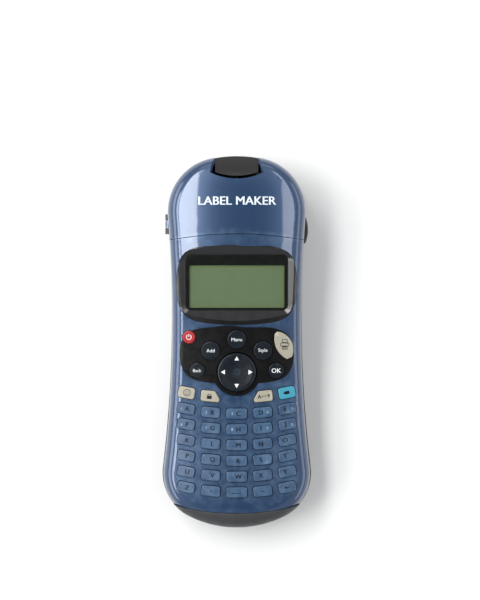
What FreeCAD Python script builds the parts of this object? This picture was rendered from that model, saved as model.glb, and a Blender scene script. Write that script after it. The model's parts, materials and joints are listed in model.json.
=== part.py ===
"""Hand-held label maker with a letter keypad, a display, a tape cassette in its head and a side cutter button.

Frame, in millimetres: it lies on its back. +Z is out of the front face, +Y runs towards the label exit, and +X is to the
right of somebody who reads the keys. The origin is the centre of the bounding box at the back face.
Each function below makes one sub-part or one family of sub-parts, and main() writes one STEP per node.
"""

import FreeCAD
import Part

import math
import os

V = FreeCAD.Vector

# ---- the outer form --------------------------------------------------------------------------------------------
LENGTH = 205.0
HALF_WAIST = 35.6  # half width at the waist, between display and keys
WAIST_Y = 14.0
TOP_RADIUS, TOP_CORNER, SIDE_RADIUS, END_CORNER, END_RADIUS = 70.0, 30.0, 702.0, 26.0, 60.0
FRONT_PROFILE = [(118, 34.0), (104, 43.6), (96, 47.4), (88, 49.3), (76, 50.2), (55, 50.0), (30, 47.5), (0, 42.8),
                 (-30, 38.8), (-60, 36.6), (-88, 35.6), (-104, 33.6), (-118, 30.0)]
CROWN_RADIUS = 170.0  # the front is crowned from side to side
FRONT_ROUND, BACK_ROUND = 8.0, 9.0
WALL = 2.2
BOARD_TOP = 25.6
PART_Z = 22.0  # the joint plane between the back casing and what closes it from the front
BACK_PROUD = 0.6  # the back casing stands this much outside the front casing
GAP = 0.3

# ---- where the front is divided ---------------------------------------------------------------------------------
SEAM_Y, SEAM_RADIUS = 59.2, 169.0  # cassette door above, front shell below
SEAM_Z, SEAM_LEAN = 50.0, 0.16  # the seam leans towards the head as it goes down, which frees the door when it swings
BUMPER_Y, BUMPER_RADIUS = -94.5, 150.0  # the back casing wraps round the end below this arc
SMILE_RADIUS = 150.0  # the key rows sag along an arc of this radius

# ---- display -----------------------------------------------------------------------------------------------------
DISPLAY = V(0, 31.0, 0)
DISPLAY_TILT = 6.4  # degrees, the slope of the front there
DISPLAY_FLOOR_Z = 44.0
WINDOW_SIZE = (52.0, 23.4)
RECESS_SIZE = (56.0, 30.5)

# ---- control panel -----------------------------------------------------------------------------------------------
NAV = V(0, -16.3, 0)
NAV_RADIUS, NAV_RING = 10.6, 13.2
NAV_RISE, NAV_TILT = 1.5, 3.0
KEY_GAP, KEY_RISE, KEY_TRAVEL = 0.35, 1.1, 0.8
ROUND_KEYS = {
    "settings_key": (0.0, 1.6, 5.1),
    "insert_key": (-14.3, -4.5, 5.1),
    "format_key": (14.3, -4.5, 5.1),
    "cancel_key": (-21.7, -15.5, 4.2),
    "ok_key": (21.7, -15.5, 4.2),
    "power_key": (-26.2, 2.9, 3.5),
}
FUNCTION_X, FUNCTION_Y = (-27.6, -14.5, 14.5, 27.6), -30.3
FUNCTION_NAMES = ("symbol_key", "lock_key", "numbers_key", "clear_key")

# ---- letter keys -------------------------------------------------------------------------------------------------
COLUMN_X = (-27.9, -14.3, 0.0, 14.3, 27.9)
COLUMN_WIDTH = (9.6, 10.3, 11.4, 10.3, 9.6)
ROW_Y, ROW_PITCH, ROW_COUNT, ROW_HEIGHT = -39.2, 8.7, 6, 5.8
SINGLE_ROWS = ("abcde", "fghij")  # these rows have one node for each key
GROUPED_ROWS = ("letter_keys_k_to_o", "letter_keys_p_to_t", "letter_keys_u_to_y", "letter_keys_z_and_space")

# ---- head: label path, printing and cutting -----------------------------------------------------------------------
EXIT_Y, EXIT_HALF, EXIT_FLARE, EXIT_ARC = 90.8, 11.8, 14.6, 33.0
SLOT_HALF, SLOT_TOP = 2.5, 39.0
TRAY_Z, TRAY_THICK = 20.0, 1.5
PLATEN, PLATEN_RADIUS, SHAFT_RADIUS = V(5.4, 80.0, 0), 5.0, 1.5
GEAR_MODULE, GEAR_Z, GEAR_THICK = 0.8, 16.0, 2.6
PLATEN_TEETH, IDLER_TEETH, PINION_TEETH = 24, 30, 10
IDLER_DIRECTION, PINION_DIRECTION = 230.0, 190.0
SPOOL, SPOOL_RADIUS = V(-17.5, 73.2, 0), 11.4
CUTTER_TRAVEL = 3.5
BUTTON_Y, BUTTON_LENGTH, BUTTON_REACH = 62.5, 15.0, 39.9
SPRING_POST, LINK_X = (12.5, 60.5), 20.6

# ---- hinge of the cassette door -----------------------------------------------------------------------------------
HINGE_X, BARREL_RADIUS, PIN_RADIUS = -38.2, 1.7, 0.8
KNUCKLES = ((60.0, 63.4), (63.7, 67.3), (67.6, 71.0))

# ---- batteries and fasteners ---------------------------------------------------------------------------------------
CELL_RADIUS, CELL_LENGTH, CELL_Z = 7.1, 50.0, 10.6
BAY_Y0, BAY_Y1, BAY_HALF = -79.0, -26.0, 29.2
BATTERY_DOOR_HALF, BATTERY_DOOR_TOP = 29.0, -20.0
TONGUE_REACH, TONGUE_Z = 2.4, 1.25  # the sliding tongues along both sides of the battery door
DOOR_RECESS, DOOR_THICK = 0.4, 1.8
SCREWS = [(-27.5, 78.5), (27.5, 78.5), (-30.2, 12.0), (30.2, 12.0)]
BOSS_RADIUS, HEAD_RADIUS = 3.4, 2.6


# ---- helpers -------------------------------------------------------------------------------------------------------
def towards(centre, direction, radius):
    """The point at radius from centre along direction."""
    return centre + V(direction.x, direction.y, 0) * (radius / direction.Length)


def corner_centre(a, reach_a, b, reach_b, side):
    """Centre of a corner arc: reach_a from a and reach_b from b, on the side of the line that side says."""
    across = b - a
    along = (reach_a**2 - reach_b**2 + across.Length**2) / (2 * across.Length)
    height = math.sqrt(reach_a**2 - along**2) * side
    unit = V(across.x, across.y, 0) * (1 / across.Length)
    return a + unit * along + V(-unit.y, unit.x, 0) * height


def arc(centre, radius, start, end):
    middle = towards(centre, (start + end) * 0.5 - centre, radius)
    return Part.Arc(start, middle, end).toShape()


def mirrored(point):
    return V(-point.x, point.y, point.z)


def outline(inset):
    """The closed outline seen from the front: eight arcs, each tangent to the next, moved inwards by inset."""
    top = V(0, LENGTH / 2 - TOP_RADIUS, 0)
    end = V(0, END_RADIUS - LENGTH / 2, 0)
    side = V(HALF_WAIST + SIDE_RADIUS, WAIST_Y, 0)
    upper = corner_centre(top, TOP_RADIUS - TOP_CORNER, side, SIDE_RADIUS + TOP_CORNER, 1)
    lower = corner_centre(end, END_RADIUS - END_CORNER, side, SIDE_RADIUS + END_CORNER, -1)
    a = towards(top, upper - top, TOP_RADIUS - inset)
    b = towards(upper, side - upper, TOP_CORNER - inset)
    c = towards(lower, side - lower, END_CORNER - inset)
    d = towards(end, lower - end, END_RADIUS - inset)
    corners = [(upper, TOP_CORNER - inset), (side, SIDE_RADIUS + inset), (lower, END_CORNER - inset)]
    points = [a, b, c, d]
    right = [arc(centre, r, p, q) for (centre, r), p, q in zip(corners, points, points[1:])]
    left = [arc(mirrored(centre), r, mirrored(q), mirrored(p)) for (centre, r), p, q in zip(corners, points, points[1:])]
    crown = Part.Arc(mirrored(a), V(0, LENGTH / 2 - inset, 0), a).toShape()
    foot = Part.Arc(d, V(0, inset - LENGTH / 2, 0), mirrored(d)).toShape()
    return Part.Wire([crown, *right, foot, *reversed(left)])


def crowned(inset, made={}):
    """Everything under the crowned front face, moved inwards by inset, as a solid wider than the form."""
    if inset not in made:
        radius = CROWN_RADIUS - inset
        rows = [[V(x, y, z - inset - radius + math.sqrt(radius**2 - x * x)) for x in range(-50, 51, 10)]
                for y, z in FRONT_PROFILE]
        surface = Part.BSplineSurface()
        surface.interpolate(rows)
        made[inset] = surface.toShape().extrude(V(0, 0, -80))
    return made[inset]


def envelope(inset, made={}):
    """The whole outer form as one solid, moved inwards by inset. The results are kept, because many parts use them."""
    if inset not in made:
        floor = max(inset, 0.0)
        prism = Part.Face(outline(inset)).extrude(V(0, 0, 80))
        prism.translate(V(0, 0, floor))
        body = prism.common(crowned(inset)).Solids[0]
        body = body.makeFillet(FRONT_ROUND - inset, [e for e in body.Edges if e.BoundBox.ZMin > PART_Z])
        rim = [e for e in body.Edges if e.BoundBox.ZMax < floor + 0.01]
        made[inset] = body.makeFillet(BACK_ROUND - inset, rim).Solids[0]
    return made[inset]


def skin(outer, inner):
    """The layer of the form between two insets."""
    return envelope(outer).cut(envelope(inner))


def front_z(y):
    """Height of the front face on the centre line."""
    curve = Part.BSplineCurve()
    curve.interpolate([V(0, b, z) for b, z in FRONT_PROFILE])
    line = Part.makeLine(V(0, y, -10), V(0, y, 90))
    return curve.toShape().distToShape(line)[1][0][0].z


def box(x0, x1, y0, y1, z0, z1):
    return Part.makeBox(x1 - x0, y1 - y0, z1 - z0, V(x0, y0, z0))


def cylinder(centre, radius, z0, z1):
    return Part.makeCylinder(radius, z1 - z0, V(centre[0], centre[1], z0))


def upright(wire, z0=0.0, z1=70.0):
    """A flat outline made at z 0, extruded from z0 to z1."""
    face = Part.Face(wire)
    face.translate(V(0, 0, z0))
    return face.extrude(V(0, 0, z1 - z0))


def fused(first, *others):
    return first.multiFuse(list(others)).removeSplitter() if others else first


def rounded(points, radius):
    """A closed outline through points, in order, with each corner rounded to radius."""
    edges, count = [], len(points)
    tangents = []
    for i, p in enumerate(points):
        before, after = points[i - 1] - p, points[(i + 1) % count] - p
        half = before.getAngle(after) / 2
        reach = radius / math.tan(half)
        start, end = towards(p, before, reach), towards(p, after, reach)
        inward = towards(p, before * (1 / before.Length) + after * (1 / after.Length), radius / math.sin(half) - radius)
        tangents.append((start, inward, end))
    for i, (start, middle, end) in enumerate(tangents):
        edges.append(Part.Arc(start, middle, end).toShape())
        edges.append(Part.makeLine(end, tangents[(i + 1) % count][0]))
    return Part.Wire(edges)


def placed(points, x, y, angle):
    """Local points turned by angle in degrees and moved to x, y."""
    c, s = math.cos(math.radians(angle)), math.sin(math.radians(angle))
    return [V(x + a * c - b * s, y + a * s + b * c, 0) for a, b in points]


def corners(width, height):
    return [(-width / 2, -height / 2), (width / 2, -height / 2), (width / 2, height / 2), (-width / 2, height / 2)]


def sagged(x, y):
    """The height y at the centre line, carried along the smile of the key rows, and the slope there in degrees."""
    return y + SMILE_RADIUS - math.sqrt(SMILE_RADIUS**2 - x * x), math.degrees(math.asin(x / SMILE_RADIUS))


def inside_arc(y, radius, gap, z0=PART_Z):
    """An upright cylinder that touches the centre line at y. A negative radius bends the arc the other way."""
    return cylinder((0, y - radius), abs(radius) - gap, z0, 90.0)


def inside_seam(gap, z0):
    """Everything on the keypad side of the leaning seam, above z0."""
    low, high = (SEAM_RADIUS - gap + SEAM_LEAN * (SEAM_Z - z) for z in (z0, 90.0))
    return Part.makeCone(low, high, 90.0 - z0, V(0, SEAM_Y - SEAM_RADIUS, z0))


def front_region(gap):
    """The part of the form that the front shell fills: above the joint plane, between seam and bumper."""
    above_bumper = inside_arc(BUMPER_Y, -BUMPER_RADIUS, gap, PART_Z + gap / 2)
    return inside_seam(gap, PART_Z + gap / 2).common(above_bumper)


def door_region(gap):
    return box(-60, 60, 0, 120, PART_Z + gap, 90).cut(inside_seam(-gap / 2, 0.0))


def wall_and_top_edges(shape):
    """Edges between an upright wall and the face on top of it."""
    found = []
    for edge in shape.Edges:
        slopes = []
        for face in shape.ancestorsOfType(edge, Part.Face):
            u0, u1, v0, v1 = face.ParameterRange
            slopes.append(abs(face.normalAt((u0 + u1) / 2, (v0 + v1) / 2).z))
        if len(slopes) == 2 and min(slopes) < 0.01 and max(slopes) > 0.3 and edge.BoundBox.ZMax > shape.BoundBox.ZMin + 3:
            found.append(edge)
    return found


def eased(shape, radius):
    """The shape with the rim of its top face rounded."""
    solid = shape.Solids[0]
    return solid.makeFillet(radius, wall_and_top_edges(solid))


def gear(centre, teeth, z0, z1, bore, turn):
    """A spur gear whose teeth are trapezoids a little thinner than half the pitch, so that a pair runs with play."""
    pitch = GEAR_MODULE * teeth / 2
    root, tip = pitch - 1.2 * GEAR_MODULE, pitch + 0.9 * GEAR_MODULE
    step = 2 * math.pi / teeth
    points = []
    for i in range(teeth):
        middle = i * step + math.radians(turn)
        for radius, share in ((root, -0.34), (tip, -0.11), (tip, 0.11), (root, 0.34)):
            angle = middle + share * step
            points.append(V(centre.x + radius * math.cos(angle), centre.y + radius * math.sin(angle), 0))
    wheel = upright(Part.makePolygon([*points, points[0]]), z0, z1)
    return wheel.cut(cylinder(centre, bore, z0 - 1, z1 + 1)) if bore else wheel


# ---- casings -------------------------------------------------------------------------------------------------------
def key_outlines():
    """Name and flat outline of every key but the navigation disc, in one dictionary."""
    found = {}
    for name, (x, y, radius) in ROUND_KEYS.items():
        found[name] = Part.Wire(Part.makeCircle(radius, V(x, y, 0)))
    petal = [V(22.0, 6.0, 0), V(28.6, 2.6, 0), V(30.3, -8.0, 0), V(27.6, -9.2, 0), V(22.9, -5.2, 0), V(20.8, 4.6, 0)]
    edges = [Part.Arc(*petal[:3]).toShape(), Part.makeLine(petal[2], petal[3]), Part.Arc(*petal[3:]).toShape(),
             Part.makeLine(petal[5], petal[0])]
    found["print_key"] = Part.Wire(edges).makeOffset2D(-0.9).makeOffset2D(0.9)
    for name, x in zip(FUNCTION_NAMES, FUNCTION_X):
        y, angle = sagged(x, FUNCTION_Y)
        shape = corners(9.2, 6.2)
        if abs(x) < 20:
            inner = math.copysign(5.2, -x)
            shape = [(-inner, -3.0), (inner, -3.0), (inner, -1.0), (inner * 0.45, 3.0), (-inner, 3.0)]
        if x > 0 and abs(x) < 20:
            shape.reverse()
        found[name] = rounded(placed(shape, x, y, angle), 1.4 if abs(x) > 20 else 1.1)
    for row in range(ROW_COUNT):
        wires = []
        for x, width in zip(COLUMN_X, COLUMN_WIDTH):
            y, angle = sagged(x, ROW_Y - row * ROW_PITCH)
            wires.append(rounded(placed(corners(width, ROW_HEIGHT), x, y, angle), 1.5))
        if row < len(SINGLE_ROWS):
            for letter, wire in zip(SINGLE_ROWS[row], wires):
                found["letter_key_" + letter] = wire
        else:
            found[GROUPED_ROWS[row - len(SINGLE_ROWS)]] = wires
    return found


def as_list(outlines):
    return outlines if isinstance(outlines, list) else [outlines]


def key_holes(outlines):
    """One upright solid for each hole that a key moves in."""
    holes = [cylinder(NAV, NAV_RADIUS + KEY_GAP + 0.15, PART_Z, 70)]
    for wires in outlines.values():
        holes += [upright(wire.makeOffset2D(KEY_GAP), PART_Z) for wire in as_list(wires)]
    return holes


def key(wire):
    """A key cap that follows the form, with a flange inside that keeps it in its hole."""
    cap = eased(upright(wire, 26).common(crowned(-KEY_RISE)).cut(crowned(3.0)), 0.5)
    flange = upright(wire.makeOffset2D(0.9), 26).common(envelope(2.5)).cut(crowned(3.5))
    return cap.fuse(flange).removeSplitter()


def oval(half, foot, centre, grow):
    """A smooth closed outline, the same on both sides, through the right-hand points half and the lowest point foot."""
    points = [V(x, y, 0) for x, y in half] + [V(0, foot, 0)] + [V(-x, y, 0) for x, y in reversed(half[1:])]
    reach = max(p.x for p in points)
    curve = Part.BSplineCurve()
    curve.interpolate(Points=[p * (1 + grow / reach) + centre for p in points], PeriodicFlag=True)
    first, last = curve.FirstParameter, curve.LastParameter
    cuts = [first, first + 0.3 * (last - first), first + 0.7 * (last - first), last]
    return Part.Wire([curve.toShape(u, v) for u, v in zip(cuts, cuts[1:])])


def panel_outline(grow=0.0):
    half = [(0, 8.9), (14, 8.3), (24, 6.6), (29.4, 2.2), (31.3, -5), (30.2, -13.5), (26.4, -18.9), (19, -21.6)]
    return oval(half, -22.8, V(0, 0, 0), grow)


def bezel_outline(grow=0.0):
    half = [(0, 21.7), (13, 21.5), (23, 20.4), (29.4, 16.6), (32.2, 8.5), (32.9, -0.5), (31.8, -9.5), (27.8, -16.4),
            (17, -20.3)]
    return oval(half, -21.3, DISPLAY, grow)


def control_panel_plan(grow):
    """The dark oval with the ring round the navigation disc, as an upright solid."""
    return upright(panel_outline(grow), PART_Z).fuse(cylinder(NAV, NAV_RING + grow, PART_Z, 70)).removeSplitter()


def on_display(shape):
    """A shape made about the origin, laid on the sloping floor of the display."""
    shape.rotate(V(0, 0, 0), V(1, 0, 0), DISPLAY_TILT)
    shape.translate(DISPLAY + V(0, 0, DISPLAY_FLOOR_Z))
    return shape


def plate(width, height, corner, z0, z1, y=0.0):
    return upright(rounded(placed(corners(width, height), 0, y, 0), corner), z0, z1)


def notch(half, y, z0, z1):
    """Plan of the label exit: straight sides and an arc across its inner end."""
    side = y + EXIT_ARC - math.sqrt(EXIT_ARC**2 - half**2)
    edges = [Part.Arc(V(-half, side, 0), V(0, y, 0), V(half, side, 0)).toShape()]
    loop = [V(half, side, 0), V(half, 110, 0), V(-half, 110, 0), V(-half, side, 0)]
    edges += [Part.makeLine(p, q) for p, q in zip(loop, loop[1:])]
    return upright(Part.Wire(edges), z0, z1)


def front_shell(outlines):
    shell = skin(0.0, WALL).common(front_region(0.2))
    posts = [cylinder((x, y), 3.0, PART_Z + 0.3, 60) for x, y in SCREWS if y < SEAM_Y]
    bulkhead = inside_arc(SEAM_Y, SEAM_RADIUS, 0.4, PART_Z + GAP).cut(inside_arc(SEAM_Y, SEAM_RADIUS, 1.8, PART_Z))
    bulkhead = bulkhead.common(box(-60, 60, 30, 70, 0, 90))
    posts = [post.common(envelope(1.0)) for post in [*posts, bulkhead]]
    cuts = [upright(bezel_outline(0.15), PART_Z), *key_holes(outlines)]
    cuts.append(control_panel_plan(0.06).common(skin(-1.0, 0.6)))
    cuts += [cylinder((x, y), 1.0, 0, 36) for x, y in SCREWS if y < SEAM_Y]
    return fused(shell, *posts).cut(cuts)


def cassette_door():
    shell = skin(0.0, WALL).common(door_region(0.3))
    y0, y1 = KNUCKLES[1]
    knuckle = along_y(HINGE_X, PART_Z, BARREL_RADIUS, y0, y1)
    web = box(HINGE_X, HINGE_X + 2.4, y0, y1, PART_Z + 0.2, PART_Z + BARREL_RADIUS)
    tongue = box(28.8, 30.2, 83.0, 87.0, 17.0, 26.0)
    arm = box(28.8, 36.0, 83.0, 87.0, 24.0, 26.0).common(envelope(1.0))
    shell = fused(shell, knuckle, web, tongue, arm)
    flare = Part.makeLoft([notch_wire(EXIT_FLARE, EXIT_Y - 1.6, 47.6), notch_wire(EXIT_HALF, EXIT_Y, 42.6)], True, True)
    rise = notch(EXIT_FLARE, EXIT_Y - 1.6, 47.6, 60)
    cuts = [notch(EXIT_HALF + 0.08, EXIT_Y - 0.08, 0, 60), flare, rise, along_y(HINGE_X, PART_Z, PIN_RADIUS + 0.06, 50, 80)]
    for y0, y1 in (KNUCKLES[0], KNUCKLES[2]):
        cuts.append(along_y(HINGE_X, PART_Z, BARREL_RADIUS + 0.35, y0 - 0.3, y1 + 0.15))
    return shell.cut(cuts)


def notch_wire(half, y, z):
    face = min(notch(half, y, z, z + 1).Faces, key=lambda f: f.CenterOfMass.z)
    return face.OuterWire


def along_y(x, z, radius, y0, y1):
    return Part.makeCylinder(radius, y1 - y0, V(x, y0, z), V(0, 1, 0))


def door_latch():
    """The springy post in the back casing that the door's tongue slides past."""
    post = box(30.4, 31.0, 83.6, 86.4, 2, 18.4).fuse(box(27.0, 31.0, 83.6, 86.4, 2, 5.4))
    return post.common(envelope(WALL + 0.05))


def exit_guide():
    """The dark chute that the label leaves through. It is fixed in the cassette door."""
    form = envelope(0.4)
    top = notch(EXIT_HALF, EXIT_Y, 40.6, 60)
    lower = notch(EXIT_HALF, EXIT_Y, 23.0, 40.6).common(box(-20, 20, 95.4, 110, 0, 60))
    block = form.common(top.fuse(lower)).removeSplitter()
    scoop = Part.makeCylinder(15.0, 60, V(-30, 103.5, 56.6), V(1, 0, 0))
    slot = box(-SLOT_HALF, SLOT_HALF, 90, 110, 0, SLOT_TOP)
    return block.cut([scoop, slot])


def back_shell():
    shell = skin(-BACK_PROUD, WALL).cut(inside_arc(BUMPER_Y, -BUMPER_RADIUS, 0.0))
    inner = envelope(1.0)
    platen, idler, pinion = gear_centres()
    ledge = box(-33.6, 33.6, -98, BATTERY_DOOR_TOP + 3, DOOR_RECESS + DOOR_THICK + 0.1, 3.8)
    adds = [ledge, box(-BAY_HALF - 1.6, BAY_HALF + 1.6, BAY_Y0 - 1.6, BAY_Y1 + 1.6, 2.4, 19.6)]
    adds += [cylinder((x, y), BOSS_RADIUS, 1, TRAY_Z - 0.05 if y > SEAM_Y else PART_Z) for x, y in SCREWS]
    adds += [cylinder(centre, 3.0, 1, GEAR_Z - 0.4) for centre in (platen, idler)]
    adds += [cylinder((x, y), 2.0, 1, TRAY_Z - 0.05) for x, y in ((-32.5, 70.5), SPRING_POST, (-14.0, 90.0))]
    adds += [cylinder((x, y), 2.0, 1 if y > 0 else 19, 23.95) for x in (-24, 24) for y in (-70, -40, 40)]
    adds.append(cylinder(pinion, 9.0, 1, 8.0).cut(cylinder(pinion, 7.6, 3.0, 9.0)))
    adds = [part.common(inner) for part in adds]
    for y0, y1 in (KNUCKLES[0], KNUCKLES[2]):
        adds.append(along_y(HINGE_X, PART_Z, BARREL_RADIUS, y0, y1))
        adds.append(box(HINGE_X, HINGE_X + 1.7, y0, y1, PART_Z - 3, PART_Z - 0.05))
    bay = box(-BAY_HALF, BAY_HALF, BAY_Y0, BAY_Y1, -1, 18.0)
    top = DOOR_RECESS + DOOR_THICK + 0.1
    groove = BATTERY_DOOR_HALF + TONGUE_REACH + 0.2
    cuts = [bay, box(-BATTERY_DOOR_HALF - 0.2, BATTERY_DOOR_HALF + 0.2, -120, BATTERY_DOOR_TOP, -1, top),
            box(-groove, groove, -120, BATTERY_DOOR_TOP, TONGUE_Z - 0.15, top)]
    cuts += [cylinder((x, y), HEAD_RADIUS + 0.25, -1, 4.0) for x, y in SCREWS]
    cuts += [cylinder((x, y), 1.35, -1, 40) for x, y in SCREWS]
    cuts += [cylinder(platen, SHAFT_RADIUS + 0.06, 8.0, 40), cylinder(idler, SHAFT_RADIUS, 6.0, 40)]
    cuts += [along_y(HINGE_X, PART_Z, PIN_RADIUS, 50, 80)]
    y0, y1 = KNUCKLES[1]
    cuts.append(along_y(HINGE_X, PART_Z, BARREL_RADIUS + 0.35, y0 - 0.15, y1 + 0.15))
    half = BUTTON_LENGTH / 2 + GAP
    cuts.append(box(30, 45, BUTTON_Y - half, BUTTON_Y + half, 8.2, 19.8))
    return fused(shell, *adds).cut(cuts)


def battery_door():
    half, top = BATTERY_DOOR_HALF, DOOR_RECESS + DOOR_THICK
    body = box(-half, half, -120, BATTERY_DOOR_TOP - 0.2, DOOR_RECESS, top)
    reach = half + TONGUE_REACH
    tongues = box(-reach, reach, -94, BATTERY_DOOR_TOP - 0.2, TONGUE_Z, top)
    ribs = [box(-9 + i, 9 - i, -30 - 2.2 * i, -29 - 2.2 * i, 0.15, 0.6) for i in range(5)]
    return fused(body, tongues, *ribs).common(envelope(-BACK_PROUD))


# ---- front furniture -------------------------------------------------------------------------------------------------
def display_bezel():
    ring = upright(bezel_outline(), 30).common(skin(-0.35, 4.2))
    low = rounded(placed(corners(*RECESS_SIZE), 0, 1.7, 0), 3.0)
    high = rounded(placed(corners(RECESS_SIZE[0] + 31.0, RECESS_SIZE[1] + 16.0), 0, 1.2, 0), 14.0)
    high.translate(V(0, 0, 5.0))
    recess = on_display(Part.makeLoft([low, high], True, True))
    window = on_display(plate(*WINDOW_SIZE, 0.6, -8, 1, -0.5))
    pocket = on_display(plate(61.0, 33.0, 1.0, -9, -1.3, 0.5))
    return ring.cut([recess, window, pocket])


def display_lens():
    width, height = RECESS_SIZE
    return on_display(plate(width - 0.3, height - 0.3, 2.85, 0.02, 0.8, 1.7))


def display_module():
    frame = plate(60.4, 32.2, 5.0, -5.4, -1.35, 0.5)
    return on_display(frame)


def control_panel(outlines):
    names = [*ROUND_KEYS, "print_key"]
    holes = key_holes({name: outlines[name] for name in names})
    return control_panel_plan(0.0).common(skin(-0.25, 0.6)).cut(holes)


def navigation_disc():
    """A dished disc on a round underside that it rocks on."""
    top = front_z(NAV.y) + NAV_RISE
    blank = cylinder(NAV, NAV_RADIUS, top - 4.4, top)
    blank = blank.makeFillet(0.9, [e for e in blank.Edges if e.BoundBox.ZMin > top - 0.1])
    dish = Part.makeSphere(60, V(NAV.x, NAV.y, top + 59.4))
    socket = Part.makeSphere(3.2, V(NAV.x, NAV.y, top - 6.2))
    return blank.cut([dish, socket])


def navigation_pivot():
    top = front_z(NAV.y) + NAV_RISE
    ball = Part.makeSphere(2.95, V(NAV.x, NAV.y, top - 6.2))
    return ball.cut(box(-5, 5, NAV.y - 5, NAV.y + 5, 0, top - 7.4))


def keypad_mat():
    """A rubber cover over the board: the keys press on its top, and its rim stands on the board."""
    cover = box(-33, 33, -87, 7, BOARD_TOP + 0.1, 60).common(envelope(4.6))
    cover = cover.cut(box(-31.8, 31.8, -85.8, 5.8, 0, 60).common(envelope(5.8)))
    return cover.cut(cylinder(NAV, NAV_RADIUS + 1.2, 20, 60))


def main_board():
    board = box(-40, 40, -88, 50, BOARD_TOP - 1.6, BOARD_TOP).common(envelope(3.4))
    return board.cut([cylinder((x, y), 3.2, 20, 60) for x, y in SCREWS if y < SEAM_Y])


def board_components():
    """Chips, the stem under the navigation disc and the four posts that carry the display module."""
    places = [(0, 12.5, 12, 6, 1.4), (-17, 2, 7, 5, 1.2), (16, 0, 5, 9, 1.2), (12, 30, 8, 4, 2.4), (-12, 34, 4, 4, 5.0)]
    places += [(x, y, 4, 4, z - BOARD_TOP) for x in (-24, 24) for y, z in ((22, 37.0), (40, 39.1))]
    pieces = [box(x - w / 2, x + w / 2, y - h / 2, y + h / 2, BOARD_TOP, BOARD_TOP + t) for x, y, w, h, t in places]
    stem_top = front_z(NAV.y) + NAV_RISE - 7.6
    return Part.makeCompound([*pieces, cylinder(NAV, 2.4, BOARD_TOP, stem_top)])


# ---- head mechanism ----------------------------------------------------------------------------------------------------
def gear_centres():
    """Platen, idler and pinion axes. The distances are those of meshed pitch circles."""
    def beyond(centre, teeth_a, teeth_b, direction):
        angle = math.radians(direction)
        return centre + V(math.cos(angle), math.sin(angle), 0) * (GEAR_MODULE * (teeth_a + teeth_b) / 2)
    idler = beyond(PLATEN, PLATEN_TEETH, IDLER_TEETH, IDLER_DIRECTION)
    return PLATEN, idler, beyond(idler, IDLER_TEETH, PINION_TEETH, PINION_DIRECTION)


def gear_turns():
    """How far each gear is turned so that a tooth of one stands in a gap of the next."""
    platen = IDLER_DIRECTION
    idler = IDLER_DIRECTION + 180 + 180 / IDLER_TEETH
    step = 360 / IDLER_TEETH
    phase = (PINION_DIRECTION - idler) % step / step
    pinion = PINION_DIRECTION + 180 + (0.5 - 1 + phase) * 360 / PINION_TEETH
    return platen, idler, pinion


def tray():
    platen, idler, pinion = gear_centres()
    sheet = box(-40, 40, 56.5, 90.6, TRAY_Z, TRAY_Z + TRAY_THICK).common(envelope(2.9))
    stubs = [cylinder((x, y), 2.6, TRAY_Z, 21.6) for x, y in SCREWS if y > SEAM_Y]
    cuts = [cylinder((x, y), 1.0, 0, 30) for x, y in SCREWS if y > SEAM_Y]
    cuts += [cylinder(platen, SHAFT_RADIUS + 0.06, 0, 40), box(28.2, 31.6, 82.5, 87.5, 0, 40)]
    return fused(sheet, *stubs).cut(cuts)


def print_head():
    block = box(-3.7, -0.3, 76.0, 84.4, TRAY_Z + TRAY_THICK, 39.6)
    fins = [box(-3.0, -0.9, 75.0, 76.0, z, z + 1.0) for z in (24.0, 27.0, 30.0, 33.0, 36.0)]
    return fused(block, *fins)


def cassette_case():
    plan = rounded([V(-30.5, 60.2, 0), V(26.0, 60.2, 0), V(26.0, 86.0, 0), V(-30.5, 86.0, 0)], 4.0)
    body = upright(plan, 21.7, 40.0)
    room = cylinder(SPOOL, 12.2, 22.9, 39.0)
    side_room = upright(rounded(placed(corners(11.0, 22.0), 19.0, 73.2, 0), 3.0), 20.0, 38.8)
    mouth = box(-4.5, 11.6, 72.6, 90.0, 20, 45)
    lens = cylinder(SPOOL, 7.0, 38.0, 45)
    label_well = upright(rounded(placed(corners(20.0, 8.6), 7.0, 66.4, 0), 1.5), 39.6, 45)
    return body.cut([room, side_room, mouth, lens, label_well]).fuse(cylinder(SPOOL, 1.9, 22.0, 38.6))


def tape_spool():
    roll = cylinder(SPOOL, SPOOL_RADIUS, 25.0, 37.0)
    hub = cylinder(SPOOL, 4.2, 23.2, 38.7)
    keyway = [box(SPOOL.x - 3.2, SPOOL.x + 3.2, SPOOL.y - 0.7, SPOOL.y + 0.7, 37.6, 39)]
    return fused(roll, hub).cut([cylinder(SPOOL, 1.96, 20, 40), *keyway])


def label_tape():
    return box(-0.06, 0.1, 72.7, 91.8, 25.2, 37.0)


def platen_roller():
    sleeve = cylinder(PLATEN, PLATEN_RADIUS, 22.6, 39.0)
    return sleeve.cut(cylinder(PLATEN, SHAFT_RADIUS, 20, 41))


def platen_gear():
    return gear(PLATEN, PLATEN_TEETH, GEAR_Z, GEAR_Z + GEAR_THICK, SHAFT_RADIUS, gear_turns()[0])


def idler_gear():
    centre = gear_centres()[1]
    return gear(centre, IDLER_TEETH, GEAR_Z, GEAR_Z + GEAR_THICK, SHAFT_RADIUS + 0.06, gear_turns()[1])


def motor_pinion():
    centre = gear_centres()[2]
    wheel = gear(centre, PINION_TEETH, GEAR_Z - 0.4, GEAR_Z + GEAR_THICK + 0.4, 0, gear_turns()[2])
    return wheel.fuse(cylinder(centre, 1.0, 12.0, GEAR_Z))


def feed_motor():
    centre = gear_centres()[2]
    can = cylinder(centre, 7.5, 3.0, 15.0)
    can = can.makeFillet(0.8, can.Edges[0:1] + can.Edges[2:3])
    return can.cut(cylinder(centre, 1.06, 11.8, 16))


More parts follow.
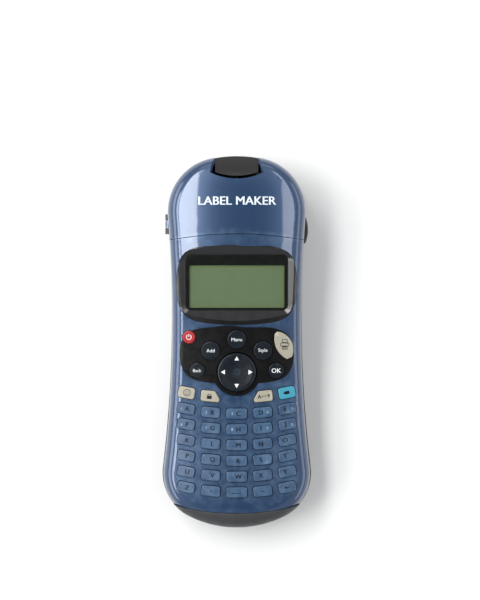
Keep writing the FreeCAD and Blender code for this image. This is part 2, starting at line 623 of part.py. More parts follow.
def cutter_button():
    half = BUTTON_LENGTH / 2
    pad = box(33.6, 42, BUTTON_Y - half, BUTTON_Y + half, 8.5, 19.5)
    pad = pad.common(Part.makeCylinder(20.0, 30, V(BUTTON_REACH - 20.0, BUTTON_Y, 0)))
    ends = [e for e in pad.Edges if e.BoundBox.XMin > 37 and e.BoundBox.XMax > 37.5]
    pad = pad.makeFillet(0.7, ends)
    grooves = [box(39.2, 42, BUTTON_Y + d - 0.45, BUTTON_Y + d + 0.45, 10, 18) for d in (-3, -1, 1, 3)]
    flange = box(33.2, 34.2, BUTTON_Y - half - 1.3, BUTTON_Y + half + 1.3, 7.6, 19.7)
    return fused(pad.cut(grooves), flange)


def cutter_link():
    """The slide that carries the button's push round the mechanism to the blade."""
    runs = [box(LINK_X, 33.2, BUTTON_Y - 4, BUTTON_Y + 4, 15.5, 18.0), box(LINK_X, 23.8, BUTTON_Y - 4, 94.6, 15.5, 18.0),
            box(3.4, 23.8, 91.4, 94.6, 15.5, 18.0)]
    holder = box(6.0, 13.0, 93.05, 94.6, 18.0, 24.0)
    return fused(runs[0], *runs[1:], holder).common(envelope(3.2))


def cutter_blade():
    outline_points = [V(1.4, 92.45, 0), V(2.4, 92.45, 0), V(13.0, 92.45, 0), V(13.0, 93.05, 0), V(2.4, 93.05, 0)]
    edge = Part.makePolygon([*outline_points, outline_points[0]])
    return upright(edge, 18.0, 39.2)


def coil_spring(start, axis, radius, wire, height, turns):
    """A helical spring standing on start along axis."""
    helix = Part.makeHelix(height / turns, height, radius)
    section = Part.Wire(Part.makeCircle(wire, V(radius, 0, 0), V(0, 1, 0)))
    spring = Part.Wire(helix).makePipeShell([section], True, True)
    spring.rotate(V(0, 0, 0), V(0, 0, 1).cross(axis), math.degrees(V(0, 0, 1).getAngle(axis)))
    spring.translate(start)
    return spring


def cutter_spring():
    x, y = SPRING_POST
    return coil_spring(V(x + 2.4, y, GEAR_Z + 0.75), V(1, 0, 0), 1.4, 0.2, LINK_X - x - 2.8, 5)


# ---- power and fasteners --------------------------------------------------------------------------------------------------
def cell_x(i):
    return (i - 1.5) * (2 * CELL_RADIUS + 0.35)


def batteries():
    cells = []
    for i in range(4):
        x, up = cell_x(i), 1 if i % 2 == 0 else -1
        nub = BAY_Y1 - 0.45 if up > 0 else BAY_Y0 + 0.45
        low = nub - 1.0 - (CELL_LENGTH - 1.0) if up > 0 else nub + 1.0
        body = along_y(x, CELL_Z, CELL_RADIUS, low, low + CELL_LENGTH - 1.0)
        body = body.makeFillet(0.5, [e for e in body.Edges if e.BoundBox.YLength < 0.01])
        cells.append(body.fuse(along_y(x, CELL_Z, 2.7, min(nub, nub - up), max(nub, nub - up))))
    return Part.makeCompound(cells)


def battery_contacts():
    pieces = []
    for i in range(4):
        x, low_is_spring = cell_x(i), i % 2 == 0
        pieces.append(box(x - 5.5, x + 5.5, BAY_Y0, BAY_Y0 + 0.4, CELL_Z - 5.5, CELL_Z + 5.5))
        pieces.append(box(x - 5.5, x + 5.5, BAY_Y1 - 0.4, BAY_Y1, CELL_Z - 5.5, CELL_Z + 5.5))
        start = V(x, BAY_Y0 + 0.75, CELL_Z) if low_is_spring else V(x, BAY_Y1 - 0.75, CELL_Z)
        direction = V(0, 1, 0) if low_is_spring else V(0, -1, 0)
        pieces.append(coil_spring(start, direction, 3.2, 0.35, 1.3, 1.5))
    return Part.makeCompound(pieces)


def case_screws():
    screws = []
    for x, y in SCREWS:
        head = cylinder((x, y), HEAD_RADIUS, 2.2, 4.0)
        cross = [box(x - 1.5, x + 1.5, y - 0.3, y + 0.3, 2, 3.0), box(x - 0.3, x + 0.3, y - 1.5, y + 1.5, 2, 3.0)]
        top = 21.5 if y > SEAM_Y else 33.0
        screws.append(head.cut(cross).fuse(cylinder((x, y), 1.0, 4.0, top)))
    return Part.makeCompound(screws)


def main():
    os.makedirs("parts", exist_ok=True)
    outlines = key_outlines()
    platen, idler, pinion = gear_centres()
    made = {
        "front_shell": front_shell(outlines),
        "cassette_door": cassette_door(),
        "exit_guide": exit_guide(),
        "back_shell": back_shell(),
        "battery_door": battery_door(),
        "display_bezel": display_bezel(),
        "display_lens": display_lens(),
        "display_module": display_module(),
        "control_panel": control_panel(outlines),
        "navigation_disc": navigation_disc(),
        "navigation_pivot": navigation_pivot(),
        "keypad_mat": keypad_mat(),
        "main_board": main_board(),
        "board_components": board_components(),
        "mechanism_tray": tray(),
        "print_head": print_head(),
        "cassette_case": cassette_case(),
        "tape_spool": tape_spool(),
        "label_tape": label_tape(),
        "platen_roller": platen_roller(),
        "platen_shaft": cylinder(PLATEN, SHAFT_RADIUS, 8.2, 40.4),
        "platen_gear": platen_gear(),
        "idler_gear": idler_gear(),
        "idler_axle": cylinder(idler, SHAFT_RADIUS, 6.0, 19.6),
        "motor_pinion": motor_pinion(),
        "feed_motor": feed_motor(),
        "cutter_button": cutter_button(),
        "cutter_link": cutter_link(),
        "cutter_blade": cutter_blade(),
        "cutter_spring": cutter_spring(),
        "hinge_pin": along_y(HINGE_X, PART_Z, PIN_RADIUS, KNUCKLES[0][0] + 0.3, KNUCKLES[2][1] - 0.3),
        "door_latch": door_latch(),
        "batteries": batteries(),
        "battery_contacts": battery_contacts(),
        "case_screws": case_screws(),
    }
    for name, wires in outlines.items():
        keys = [key(wire) for wire in as_list(wires)]
        made[name] = keys[0] if len(keys) == 1 else Part.makeCompound(keys)
    for name, shape in made.items():
        shape.exportStep(f"parts/{name}.step")
        good = shape.isValid() and all(solid.isClosed() for solid in shape.Solids)
        print(f"{name:28s} solids {len(shape.Solids)} volume {shape.Volume:10.1f} {'' if good else 'NOT VALID'}")


main()
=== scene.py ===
"""Looks for the hand-held label maker: materials for every CAD node, the printed legends, light and camera."""

import json
import math

import bmesh
import bpy
from mathutils import Matrix, Vector


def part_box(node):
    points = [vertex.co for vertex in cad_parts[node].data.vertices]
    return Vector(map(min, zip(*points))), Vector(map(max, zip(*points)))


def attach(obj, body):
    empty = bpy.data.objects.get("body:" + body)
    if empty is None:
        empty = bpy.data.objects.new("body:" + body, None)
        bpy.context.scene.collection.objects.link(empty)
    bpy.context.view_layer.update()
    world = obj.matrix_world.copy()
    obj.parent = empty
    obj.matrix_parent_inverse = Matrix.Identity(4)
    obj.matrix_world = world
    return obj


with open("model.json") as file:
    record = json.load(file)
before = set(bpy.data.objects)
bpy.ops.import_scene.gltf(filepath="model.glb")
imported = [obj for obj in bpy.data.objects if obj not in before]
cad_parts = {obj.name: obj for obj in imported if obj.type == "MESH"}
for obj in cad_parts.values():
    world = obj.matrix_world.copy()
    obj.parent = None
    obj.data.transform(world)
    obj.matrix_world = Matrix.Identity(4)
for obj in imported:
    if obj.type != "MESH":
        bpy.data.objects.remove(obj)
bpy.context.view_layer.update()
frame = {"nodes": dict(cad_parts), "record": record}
nodes = frame["nodes"]
body_of = {n: b for b, members in frame["record"]["behaviour"]["bodies"].items() for n in members}
MM = 0.001
KEY_ARC = 150.0  # radius in millimetres of the arcs that the key rows follow
NAV_Y = -16.3  # centre of the navigation disc, in millimetres
FIRST_ROW_Y, ROW_PITCH = -39.2, 8.7  # letter rows at the centre line, in millimetres
CAPITAL_SHARE = 0.7  # height of a capital as a share of the font size


# ---- colour ------------------------------------------------------------------------------------------------
def linear(r, g, b):
    """A display colour in 0 to 255 as a linear colour."""
    def one(c):
        c /= 255
        return c / 12.92 if c <= 0.04045 else ((c + 0.055) / 1.055) ** 2.4
    return one(r), one(g), one(b), 1.0


# ---- materials ---------------------------------------------------------------------------------------------
class Nodes:
    """A material under construction. Places are in the row frame, because every CAD node sits at the origin."""

    def __init__(self, name, colour, roughness, **sockets):
        self.material = bpy.data.materials.new(name)
        self.material.use_nodes = True
        self.tree = self.material.node_tree
        self.shader = self.tree.nodes["Principled BSDF"]
        self.place = self.add("ShaderNodeTexCoord").outputs["Object"]
        self.set("Base Color", colour)
        self.set("Roughness", roughness)
        for key, value in sockets.items():
            self.set(key.replace("_", " "), value)

    def add(self, kind, **settings):
        node = self.tree.nodes.new(kind)
        for key, value in settings.items():
            if hasattr(node, key):
                setattr(node, key, value)
            else:
                node.inputs[key.replace("_", " ")].default_value = value
        return node

    def link(self, source, target):
        self.tree.links.new(source, target)

    def set(self, socket, value):
        if isinstance(value, bpy.types.NodeSocket):
            self.link(value, self.shader.inputs[socket])
        else:
            self.shader.inputs[socket].default_value = value

    def noise(self, size, detail=3.0, stretch=(1, 1, 1)):
        """Noise whose largest features are about size metres."""
        place = self.place
        if stretch != (1, 1, 1):
            mapping = self.add("ShaderNodeMapping", Scale=stretch)
            self.link(place, mapping.inputs["Vector"])
            place = mapping.outputs["Vector"]
        node = self.add("ShaderNodeTexNoise", Scale=1 / size, Detail=detail)
        self.link(place, node.inputs["Vector"])
        return node.outputs["Fac"]

    def between(self, factor, low, high, start=0.35, end=0.65):
        """A number from low to high as factor goes from start to end."""
        node = self.add("ShaderNodeMapRange", From_Min=start, From_Max=end, To_Min=low, To_Max=high)
        self.link(factor, node.inputs["Value"])
        return node.outputs["Result"]

    def blend(self, factor, a, b):
        node = self.add("ShaderNodeMix", data_type="RGBA")
        for socket, value in ((node.inputs[0], factor), (node.inputs[6], a), (node.inputs[7], b)):
            if isinstance(value, bpy.types.NodeSocket):
                self.link(value, socket)
            else:
                socket.default_value = value
        return node.outputs[2]

    def math(self, operation, a, b=0.0):
        node = self.add("ShaderNodeMath", operation=operation)
        for socket, value in zip(node.inputs, (a, b)):
            if isinstance(value, bpy.types.NodeSocket):
                self.link(value, socket)
            else:
                socket.default_value = value
        return node.outputs[0]

    def axes(self):
        node = self.add("ShaderNodeSeparateXYZ")
        self.link(self.place, node.inputs[0])
        return node.outputs

    def bump(self, height, depth, strength=1.0):
        """Relief of depth metres from a height that runs from 0 to 1."""
        node = self.add("ShaderNodeBump", Strength=strength, Distance=depth)
        self.link(height, node.inputs["Height"])
        if self.shader.inputs["Normal"].links:
            self.link(self.shader.inputs["Normal"].links[0].from_socket, node.inputs["Normal"])
        self.set("Normal", node.outputs[0])

    def wear_and_highlight_edges(self, colour, base, reach=0.52, amount=0.35):
        """The base colour, paler towards colour along sharp edges: rubbed wear, and on the letter keys, the dark
        keys and the blue casing also a painted edge highlight.
        """
        edge = self.between(self.add("ShaderNodeNewGeometry").outputs["Pointiness"], 0, amount, reach, reach + 0.06)
        patchy = self.math("MULTIPLY", edge, self.between(self.noise(0.004), 0.2, 1.0))
        return self.blend(patchy, base, colour)


def moulded(name, colour, roughness, grain=0.00035, depth=0.000012, variation=0.12, edge_wear_and_highlight=None, **sockets):
    """Moulded plastic or rubber: slight cloudiness in colour and gloss, a fine spark-eroded grain, paler sharp edges
    from wear (on the dark keys also a painted edge highlight).
    """
    m = Nodes(name, colour, roughness, **sockets)
    cloud = m.noise(0.012, 4.0)
    dark = tuple(c * (1 - variation) for c in colour[:3]) + (1.0,)
    light = tuple(min(1.0, c * (1 + variation)) for c in colour[:3]) + (1.0,)
    base = m.blend(m.between(cloud, 0, 1), dark, light)
    # Paler sharp edges: wear, and for the dark keys also a painted highlight.
    if edge_wear_and_highlight:
        base = m.wear_and_highlight_edges(edge_wear_and_highlight, base)
    m.set("Base Color", base)
    m.set("Roughness", m.between(m.noise(0.005, 5.0), roughness * 0.85, min(1.0, roughness * 1.2)))
    m.bump(m.noise(grain, 2.0), depth)
    return m.material


def metal(name, colour, roughness, stretch=(1, 30, 1), size=0.0006, **sockets):
    """Drawn or brushed metal with fine streaks."""
    m = Nodes(name, colour, roughness, Metallic=1.0, **sockets)
    streak = m.noise(size * 20, 4.0, stretch)
    m.set("Base Color", m.blend(m.between(streak, 0, 1), tuple(c * 0.8 for c in colour[:3]) + (1.0,), colour))
    m.set("Roughness", m.between(streak, roughness * 0.7, roughness * 1.4))
    m.bump(streak, 0.000004)
    return m.material


def blue_casing():
    """Glossy blue with fine metallic flakes under a clear coat, and a few hairline scuffs."""
    deep, bright = linear(36, 60, 92), linear(52, 80, 116)
    m = Nodes("casing_blue", deep, 0.3, Metallic=0.35, Coat_Weight=1.0, Coat_Roughness=0.05, Coat_IOR=1.5)
    cells = m.add("ShaderNodeTexVoronoi", Scale=1 / 0.00016)
    m.link(m.place, cells.inputs["Vector"])
    flake = m.between(cells.outputs["Color"], 0, 1, 0.2, 0.9)
    cloud = m.between(m.noise(0.02, 3.0), 0, 0.25)
    base = m.blend(m.math("MAXIMUM", m.math("MULTIPLY", flake, 0.5), cloud), deep, bright)
    # Paler sharp edges: partly wear, partly a painted highlight.
    m.set("Base Color", m.wear_and_highlight_edges(linear(120, 150, 180), base, 0.54, 0.25))
    scuff = m.between(m.noise(0.004, 6.0, (1, 9, 1)), 0, 1, 0.68, 0.78)
    m.set("Roughness", m.between(scuff, 0.26, 0.36, 0, 1))
    m.bump(flake, 0.0000015, 0.6)
    return m.material


def display_glass():
    """A thin acrylic window: it shows what is under it, with a reflection that grows towards the edge of view."""
    m = Nodes("lens_clear", (0.9, 0.95, 0.9, 1), 0.05)
    clear = m.add("ShaderNodeBsdfTransparent", Color=(0.93, 0.96, 0.92, 1))
    gloss = m.add("ShaderNodeBsdfGlossy", Color=(1, 1, 1, 1))
    smear = m.between(m.noise(0.01, 5.0, (1, 3, 1)), 0.03, 0.1)
    m.link(smear, gloss.inputs["Roughness"])
    side_on = m.add("ShaderNodeLayerWeight", Blend=0.5).outputs["Facing"]
    mirror = m.between(m.math("POWER", side_on, 5.0), 0.035, 1.0, 0, 1)
    mix = m.add("ShaderNodeMixShader")
    m.link(mirror, mix.inputs[0])
    m.link(clear.outputs[0], mix.inputs[1])
    m.link(gloss.outputs[0], mix.inputs[2])
    m.link(mix.outputs[0], m.tree.nodes["Material Output"].inputs["Surface"])
    return m.material


def liquid_crystal():
    """The reflective display: grey-green, warmer round the rim, with the faint grid of its dots."""
    m = Nodes("display_grey_green", linear(106, 122, 90), 0.45)
    x, y, _ = m.axes()
    rim_x = m.between(m.math("ABSOLUTE", x), 0, 1, 0.0225, 0.0262)
    rim_y = m.between(m.math("ABSOLUTE", m.math("SUBTRACT", y, 0.0305)), 0, 1, 0.0085, 0.0118)
    rim = m.math("MULTIPLY", m.math("MAXIMUM", rim_x, rim_y), 0.7)
    base = m.blend(rim, linear(100, 113, 88), linear(109, 119, 77))
    pitch = 0.00052
    lines = [m.math("GREATER_THAN", m.math("FRACT", m.math("DIVIDE", axis, pitch)), 0.86) for axis in (x, y)]
    grid = m.math("MULTIPLY", m.math("MAXIMUM", *lines), 0.12)
    m.set("Base Color", m.blend(grid, base, linear(128, 142, 110)))
    m.set("Roughness", m.between(m.noise(0.006), 0.38, 0.5))
    return m.material


def circuit_board():
    """Green solder mask over tracks that run one way or the other by area."""
    m = Nodes("board_green", linear(20, 78, 44), 0.35, Coat_Weight=0.3)
    x, y, _ = m.axes()
    tracks = []
    for along, across in ((x, y), (y, x)):
        wave = m.math("MULTIPLY", m.between(m.noise(0.02, 1.0), 0, 1), 0.006)
        stripe = m.math("FRACT", m.math("DIVIDE", m.math("ADD", across, wave), 0.0021))
        tracks.append(m.math("LESS_THAN", stripe, 0.35))
    area = m.between(m.noise(0.015, 0.0), 0, 1, 0.48, 0.5)
    track = m.blend(area, (0, 0, 0, 1), (1, 1, 1, 1))
    chosen = m.add("ShaderNodeMix", data_type="FLOAT")
    m.link(track, chosen.inputs[0])
    m.link(tracks[0], chosen.inputs[2])
    m.link(tracks[1], chosen.inputs[3])
    m.set("Base Color", m.blend(chosen.outputs[0], linear(18, 70, 40), linear(46, 118, 66)))
    m.bump(chosen.outputs[0], 0.00003)
    return m.material


def letter_rubber():
    """Blue key rubber, a little translucent, paler towards the sharp edges: partly wear, partly a painted highlight.
    """
    m = Nodes("key_blue", linear(70, 102, 136), 0.38, Subsurface_Weight=0.08, Subsurface_Scale=0.0015,
              Coat_Weight=0.25, Coat_Roughness=0.2)
    base = m.blend(m.between(m.noise(0.006, 4.0), 0, 1), linear(36, 64, 94), linear(52, 82, 112))
    # Paler sharp edges: partly wear, partly a painted highlight.
    m.set("Base Color", m.wear_and_highlight_edges(linear(124, 152, 180), base, 0.5, 0.5))
    m.set("Roughness", m.between(m.noise(0.003, 5.0), 0.3, 0.48))
    m.bump(m.noise(0.0003, 2.0), 0.000008)
    return m.material


def cell_sleeve():
    """Printed sleeves: dark with a copper-coloured end, and a bare steel rim."""
    m = Nodes("cell_case", (0.1, 0.1, 0.1, 1), 0.3, Coat_Weight=0.5, Coat_Roughness=0.1)
    _, y, _ = m.axes()
    copper = m.math("GREATER_THAN", y, -0.042)
    base = m.blend(copper, linear(38, 40, 46), linear(176, 108, 62))
    m.set("Base Color", base)
    m.set("Metallic", m.between(copper, 0.3, 0.9, 0, 1))
    m.set("Roughness", m.between(m.noise(0.004), 0.25, 0.4))
    return m.material


def tape_roll():
    """The edge of a wound tape: fine rings round the spool."""
    m = Nodes("tape_white", linear(236, 235, 230), 0.5)
    x, y, _ = m.axes()
    dx, dy = m.math("SUBTRACT", x, -0.0175), m.math("SUBTRACT", y, 0.0732)
    distance = m.math("SQRT", m.math("ADD", m.math("MULTIPLY", dx, dx), m.math("MULTIPLY", dy, dy)))
    ring = m.math("FRACT", m.math("DIVIDE", distance, 0.0004))
    m.set("Base Color", m.blend(m.math("MULTIPLY", ring, 0.25), linear(238, 237, 232), linear(196, 194, 188)))
    m.bump(ring, 0.00002)
    return m.material


EXIT_DARK = moulded("exit_dark", linear(36, 34, 35), 0.45, 0.0005, 0.00001, Specular_IOR_Level=0.3)
looks = {
    "casing_blue": blue_casing(),
    "casing_dark": moulded("casing_dark", linear(50, 51, 53), 0.5, 0.0005, 0.00002, 0.03, linear(78, 79, 81)),
    "bezel_black": moulded("bezel_black", linear(15, 15, 16), 0.22, 0.0008, 0.000002, 0.04,
                           Coat_Weight=0.4, Coat_Roughness=0.06),
    "lens_clear": display_glass(),
    "display_grey_green": liquid_crystal(),
    "panel_black": moulded("panel_black", linear(13, 13, 14), 0.3, 0.0003, 0.000003, Specular_IOR_Level=0.22),
    # The dark keys get paler sharp edges: partly wear, partly a painted rim highlight.
    "key_dark": moulded("key_dark", linear(16, 23, 30), 0.3, 0.0003, 0.000003, edge_wear_and_highlight=linear(70, 84, 98),
                        Coat_Weight=0.06, Coat_Roughness=0.15, Specular_IOR_Level=0.28),
    "key_red": moulded("key_red", linear(158, 26, 32), 0.32, edge_wear_and_highlight=linear(214, 96, 98), Coat_Weight=0.25),
    "key_white": moulded("key_white", linear(158, 153, 137), 0.42, edge_wear_and_highlight=linear(226, 222, 210), variation=0.05),
    "key_cyan": moulded("key_cyan", linear(58, 142, 164), 0.36, edge_wear_and_highlight=linear(160, 220, 230), variation=0.08,
                        Subsurface_Weight=0.1, Subsurface_Scale=0.0015),
    "key_blue": letter_rubber(),
    "rubber_grey": moulded("rubber_grey", linear(128, 130, 132), 0.7),
    "roller_rubber": moulded("roller_rubber", linear(34, 34, 35), 0.75, 0.0004, 0.00002),
    "board_green": circuit_board(),
    "chip_black": moulded("chip_black", linear(30, 30, 32), 0.5, 0.0004, 0.00001),
    "sheet_steel": metal("sheet_steel", linear(176, 178, 182), 0.32),
    "head_ceramic": moulded("head_ceramic", linear(196, 186, 166), 0.35),
    "cassette_grey": moulded("cassette_grey", linear(92, 96, 104), 0.3, edge_wear_and_highlight=linear(150, 154, 160), Coat_Weight=0.3),
    "tape_white": tape_roll(),
    "gear_white": moulded("gear_white", linear(226, 222, 208), 0.4, variation=0.05),
    "cell_case": cell_sleeve(),
    "contact_steel": metal("contact_steel", linear(214, 212, 206), 0.2, (6, 6, 6)),
}

for row in frame["record"]["subparts"]:
    obj = nodes[row["node"]]
    obj.data.materials.clear()
    obj.data.materials.append(EXIT_DARK if obj.name == "exit_guide" else looks[row["material_slot"]])


# ---- printed legends ---------------------------------------------------------------------------------------
INK_WHITE = moulded("ink_white", linear(226, 228, 228), 0.5, variation=0.03)
INK_DARK = moulded("ink_dark", linear(14, 19, 28), 0.55, variation=0.05, Specular_IOR_Level=0.2)
INK_SOFT = moulded("ink_soft", linear(150, 176, 200), 0.5, variation=0.03)
INK_SILVER = moulded("ink_silver", linear(206, 214, 220), 0.35, variation=0.05)


def surface_point(node, x, y):
    """Where an upright line at x, y meets the top of a CAD node."""
    hit, place, _, _ = nodes[node].ray_cast(Vector((x, y, 0.2)), Vector((0, 0, -1)))
    return place.z if hit else None


def lay_on(mesh_object, node, ink, lift=0.00004):
    """Drops a flat outline, made in the row frame's x and y, onto a CAD node, and lets it move with that node."""
    data = mesh_object.data
    shape = bmesh.new()
    shape.from_mesh(data)
    bmesh.ops.remove_doubles(shape, verts=shape.verts, dist=0.000001)
    bmesh.ops.triangulate(shape, faces=shape.faces)
    long_edges = [e for e in shape.edges if e.calc_length() > 0.0012]
    bmesh.ops.subdivide_edges(shape, edges=long_edges, cuts=3)
    bmesh.ops.triangulate(shape, faces=shape.faces)
    fallback = max(v.co.z for v in nodes[node].data.vertices)
    for vertex in shape.verts:
        height = surface_point(node, vertex.co.x, vertex.co.y)
        vertex.co.z += (fallback if height is None else height) + lift
    bmesh.ops.recalc_face_normals(shape, faces=shape.faces)
    if sum(f.normal.z for f in shape.faces) < 0:
        bmesh.ops.reverse_faces(shape, faces=shape.faces)
    shape.to_mesh(data)
    shape.free()
    data.materials.clear()
    data.materials.append(ink)
    bpy.context.scene.collection.objects.link(mesh_object)
    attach(mesh_object, body_of[node])
    return mesh_object


def word(name, text, node, x, y, height, ink, turn=0.0, width=None, bold=0.0):
    """Text in the built-in plain face, its middle at x, y in millimetres and its capitals height millimetres tall.
    bold millimetres are added to each stroke by a second, slightly raised copy to the right."""
    curve = bpy.data.curves.new(name, "FONT")
    curve.body = text
    curve.size = height * MM / CAPITAL_SHARE
    curve.align_x, curve.align_y = "CENTER", "CENTER"
    curve.resolution_u = 3
    maker = bpy.data.objects.new(name + "_curve", curve)
    bpy.context.scene.collection.objects.link(maker)
    bpy.context.view_layer.update()
    data = bpy.data.meshes.new_from_object(maker.evaluated_get(bpy.context.evaluated_depsgraph_get()))
    bpy.data.objects.remove(maker)
    xs = [v.co.x for v in data.vertices]
    ys = [v.co.y for v in data.vertices]
    centre = Vector(((min(xs) + max(xs)) / 2, (min(ys) + max(ys)) / 2, 0))
    squeeze = width * MM / (max(xs) - min(xs)) if width else 1.0
    c, s = math.cos(math.radians(turn)), math.sin(math.radians(turn))
    for v in data.vertices:
        p = v.co - centre
        p.x *= squeeze
        p.x -= bold * MM / 2
        v.co = Vector((x * MM + p.x * c - p.y * s, y * MM + p.x * s + p.y * c, 0))
    if bold:
        shape = bmesh.new()
        shape.from_mesh(data)
        copied = bmesh.ops.duplicate(shape, geom=[*shape.verts, *shape.edges, *shape.faces])["geom"]
        moved = [part for part in copied if isinstance(part, bmesh.types.BMVert)]
        bmesh.ops.translate(shape, verts=moved, vec=(bold * MM * c, bold * MM * s, 0.000015))
        shape.to_mesh(data)
        shape.free()
    return lay_on(bpy.data.objects.new(name, data), node, ink)


def icon(name, outlines, node, x, y, ink, turn=0.0, scale=1.0):
    """Flat polygons in millimetres about x, y. Each outline is a list of corners in order."""
    data = bpy.data.meshes.new(name)
    shape = bmesh.new()
    c, s = math.cos(math.radians(turn)), math.sin(math.radians(turn))
    for outline in outlines:
        corners = []
        for a, b in outline:
            a, b = a * scale, b * scale
            corners.append(shape.verts.new(((x + a * c - b * s) * MM, (y + a * s + b * c) * MM, 0)))
        shape.faces.new(corners)
    shape.to_mesh(data)
    shape.free()
    return lay_on(bpy.data.objects.new(name, data), node, ink)


def bar(x0, y0, x1, y1):
    """A filled rectangle between two opposite corners."""
    return [(x0, y0), (x1, y0), (x1, y1), (x0, y1)]


def frame_bars(x0, y0, x1, y1, w):
    """The four sides of a hollow rectangle."""
    return [bar(x0, y0, x1, y0 + w), bar(x0, y1 - w, x1, y1), bar(x0, y0 + w, x0 + w, y1 - w),
            bar(x1 - w, y0 + w, x1, y1 - w)]


def ring_pieces(radius, width, start, end, steps=20, x=0.0, y=0.0):
    """A ring or part of one, as small four-sided pieces."""
    pieces = []
    for i in range(steps):
        a, b = (math.radians(start + (end - start) * (i + k) / steps) for k in (0, 1))
        pieces.append([(x + r * math.cos(t), y + r * math.sin(t)) for r, t in
                       ((radius, a), (radius + width, a), (radius + width, b), (radius, b))])
    return pieces


def node_centre(node):
    """The middle of a CAD node in x and y, in millimetres."""
    low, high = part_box(node)
    return (low.x + high.x) / 2 / MM, (low.y + high.y) / 2 / MM


def smile(x):
    """The turn in degrees of a key that sits x millimetres from the centre line."""
    return math.degrees(math.asin(x / KEY_ARC))


word("legend_head", "LABEL MAKER", "cassette_door", 0.3, 77.2, 4.6, INK_SILVER, width=42.0, bold=0.3)
word("legend_menu", "Menu", "settings_key", 0.0, 1.6, 1.9, INK_WHITE)
word("legend_add", "Add", "insert_key", -14.3, -4.5, 1.9, INK_WHITE)
word("legend_style", "Style", "format_key", 14.3, -4.5, 1.9, INK_WHITE)
word("legend_back", "Back", "cancel_key", -21.7, -15.5, 1.7, INK_WHITE)
word("legend_ok", "OK", "ok_key", 21.7, -15.5, 2.5, INK_WHITE, bold=0.12)

for name, dx, dy, turn in (("up", 0, 7.4, 0), ("left", -7.4, 0, 90), ("down", 0, -7.4, 180), ("right", 7.4, 0, 270)):
    arrow = [(-1.25, -0.95), (1.25, -0.95), (0, 1.25)]
    icon("arrow_" + name, [arrow], "navigation_disc", dx, NAV_Y + dy, INK_WHITE, turn)

power = ring_pieces(1.15, 0.34, 120, 420) + [bar(-0.17, 0.2, 0.17, 1.75)]
icon("icon_power", power, "power_key", -26.2, 2.9, INK_WHITE)

printer = [*frame_bars(-2.4, -1.1, 2.4, 0.8, 0.3), *frame_bars(-1.5, 0.8, 1.5, 2.7, 0.3), bar(1.3, 0.1, 1.8, 0.4),
           *frame_bars(-1.5, -2.9, 1.5, -1.1, 0.3), bar(-0.9, -1.7, 0.9, -1.45), bar(-0.9, -2.3, 0.9, -2.05)]
icon("icon_print", printer, "print_key", 26.3, -1.0, INK_DARK)

face = ring_pieces(1.35, 0.26, 0, 360, 24) + ring_pieces(0.65, 0.22, 200, 340, 8)
face += [bar(-0.6, 0.2, -0.3, 0.6), bar(0.3, 0.2, 0.6, 0.6)]
icon("icon_symbols", face, "symbol_key", *node_centre("symbol_key"), INK_DARK, smile(-27.6), 1.25)
padlock = [bar(-1.15, -1.3, 1.15, 0.25), *ring_pieces(0.6, 0.28, 0, 180, 10, 0, 0.35), bar(-0.88, 0.2, -0.6, 0.4),
           bar(0.6, 0.2, 0.88, 0.4)]
icon("icon_lock", padlock, "lock_key", -15.0, node_centre("lock_key")[1], INK_DARK, smile(-14.5), 1.15)
swap = [bar(-0.9, -0.16, 0.9, 0.16), [(0.9, -0.6), (1.9, 0.0), (0.9, 0.6)], [(-0.9, 0.6), (-1.9, 0.0), (-0.9, -0.6)]]
x, y = node_centre("numbers_key")
icon("icon_swap", swap, "numbers_key", 15.0, y, INK_DARK, smile(14.5), 0.7)
word("legend_swap_a", "A", "numbers_key", 12.5, y - 0.3, 2.0, INK_DARK, smile(14.5), bold=0.16)
word("legend_swap_b", "9", "numbers_key", 17.5, y + 0.2, 2.0, INK_DARK, smile(14.5), bold=0.16)
clear = [[(-2.2, 0.0), (-1.0, 1.0), (-1.0, -1.0)], bar(-1.0, -1.0, 1.9, 1.0)]
icon("icon_clear", clear, "clear_key", *node_centre("clear_key"), INK_DARK, smile(27.6), 0.85)

COLUMNS = (-27.9, -14.3, 0.0, 14.3, 27.9)  # key centres across, in millimetres
OFFSETS = (0.6, 0.9, 0.9, -1.0, -1.2)  # how far each column's letters sit off the key's centre, in millimetres
rows = ["ABCDE", "FGHIJ", "KLMNO", "PQRST", "UVWXY", "Z._-←"]
row_nodes = ["letter_keys_k_to_o", "letter_keys_p_to_t", "letter_keys_u_to_y", "letter_keys_z_and_space"]
for r, row in enumerate(rows):
    for i, letter in enumerate(row):
        node = "letter_key_" + letter.lower() if r < 2 else row_nodes[r - 2]
        x = COLUMNS[i]
        y = FIRST_ROW_Y - ROW_PITCH * r + KEY_ARC - math.sqrt(KEY_ARC**2 - x * x)
        turn = smile(x)
        if letter == "_":
            cup = [bar(-2.2, -0.7, 2.2, -0.4), bar(-2.2, -0.4, -1.9, 0.4), bar(1.9, -0.4, 2.2, 0.4)]
            icon("mark_space", cup, node, x, y, INK_DARK, turn)
        elif letter == "←":
            back = [[(-1.6, 0), (-0.5, 0.9), (-0.5, -0.9)], bar(-0.5, -0.22, 1.5, 0.22)]
            icon("mark_delete", back, node, x, y, INK_DARK, turn)
        elif letter in ".-":
            shape = ring_pieces(0.01, 0.42, 0, 360, 12) if letter == "." else [bar(-0.9, -0.2, 0.9, 0.2)]
            icon("mark_dot" if letter == "." else "mark_dash", shape, node, x, y, INK_DARK, turn)
        else:
            word("letter_" + letter.lower(), letter, node, x + OFFSETS[i], y, 2.5, INK_DARK, turn, bold=0.24)
            if r < 2:
                side = -2.5 if OFFSETS[i] > 0 else 2.6
                digit = str((5 * r + i + 1) % 10)
                word("digit_" + digit, digit, node, x + side, y, 1.5, INK_SOFT, turn)


# ---- floor, light and camera -------------------------------------------------------------------------------
def plain(name, colour, roughness):
    """One colour with a little variation in gloss."""
    m = Nodes(name, colour, roughness)
    m.set("Roughness", m.between(m.noise(0.05, 4.0), roughness * 0.9, roughness))
    return m.material


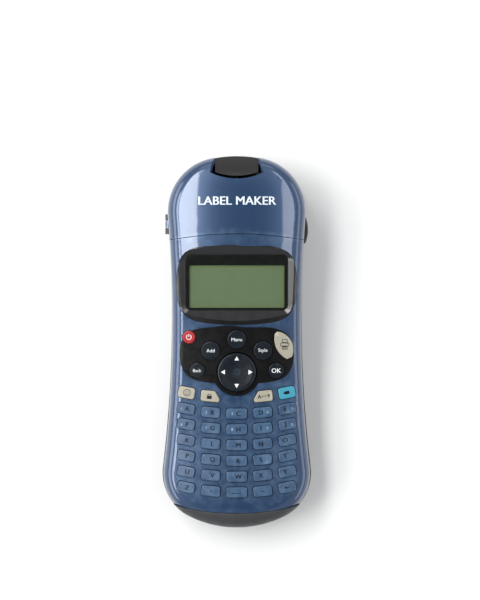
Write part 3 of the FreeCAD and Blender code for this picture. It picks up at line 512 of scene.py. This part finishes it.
floor_mesh = bpy.data.meshes.new("floor")
floor_mesh.from_pydata([(-3, -3, 0), (3, -3, 0), (3, 3, 0), (-3, 3, 0)], [], [(0, 1, 2, 3)])
floor_mesh.materials.append(plain("floor_pale", (0.82, 0.82, 0.81, 1), 0.7))
floor = bpy.data.objects.new("floor", floor_mesh)
bpy.context.scene.collection.objects.link(floor)


def softbox(name, place, aim, width, length, power, colour=(1, 1, 1)):
    """An area light that faces aim, with its length as near as it can be to the y direction."""
    data = bpy.data.lights.new(name, "AREA")
    data.shape, data.size, data.size_y = "RECTANGLE", width, length
    data.energy, data.color = power, colour
    back = (Vector(place) - Vector(aim)).normalized()
    across = Vector((0, 1, 0)).cross(back).normalized()
    turn = Matrix((across, back.cross(across), back)).transposed()
    light = bpy.data.objects.new(name, data)
    light.matrix_world = Matrix.Translation(place) @ turn.to_4x4()
    bpy.context.scene.collection.objects.link(light)


softbox("head_left", (-0.44, 0.42, 1.05), (0, 0.42, 0), 0.26, 1.1, 9)
softbox("head_right", (0.46, 0.42, 1.05), (0, 0.42, 0), 0.2, 1.1, 3)
softbox("slope_left", (-0.8, 0.0, 1.0), (0, 0, 0), 0.26, 0.9, 5)
softbox("side_left", (-1.1, 0.0, 0.45), (0, 0, 0), 0.4, 1.8, 7)
softbox("side_right", (1.1, 0.0, 0.45), (0, 0, 0), 0.4, 1.8, 3.5)
softbox("top_end", (0.0, 1.35, 0.7), (0, 0, 0), 1.2, 0.4, 1.5)

# A pale studio with a dark ceiling, so that the flat glossy faces read dark from above.
world = bpy.data.worlds.new("studio")
bpy.context.scene.world = world
world.use_nodes = True
sky = world.node_tree
direction = sky.nodes.new("ShaderNodeTexCoord")
height = sky.nodes.new("ShaderNodeSeparateXYZ")
shade = sky.nodes.new("ShaderNodeMapRange")
shade.interpolation_type = "SMOOTHSTEP"
for socket, value in (("From Min", 0.8), ("From Max", 0.97), ("To Min", 0.55), ("To Max", 0.05)):
    shade.inputs[socket].default_value = value
sky.links.new(direction.outputs["Generated"], height.inputs[0])
sky.links.new(height.outputs["Z"], shade.inputs["Value"])
sky.links.new(shade.outputs["Result"], sky.nodes["Background"].inputs["Strength"])
sky.nodes["Background"].inputs["Color"].default_value = (0.94, 0.96, 1.0, 1)

OUTLINE_HEIGHT = 0.022  # height of the widest outline above the floor
CAMERA_DISTANCE = 1.0  # assumed, from the camera down to the widest outline
FIELD_WIDTH = 0.268  # what the picture's width covers at that outline
camera_data = bpy.data.cameras.new("camera")
camera_data.sensor_fit = "HORIZONTAL"
camera_data.sensor_width = 36.0
camera_data.lens = camera_data.sensor_width * CAMERA_DISTANCE / FIELD_WIDTH
camera_data.clip_start = 0.05
camera = bpy.data.objects.new("camera", camera_data)
camera.location = (0.0018, 0.0232, CAMERA_DISTANCE + OUTLINE_HEIGHT)
bpy.context.scene.collection.objects.link(camera)
bpy.context.scene.camera = camera
bpy.context.scene.view_settings.view_transform = "Standard"
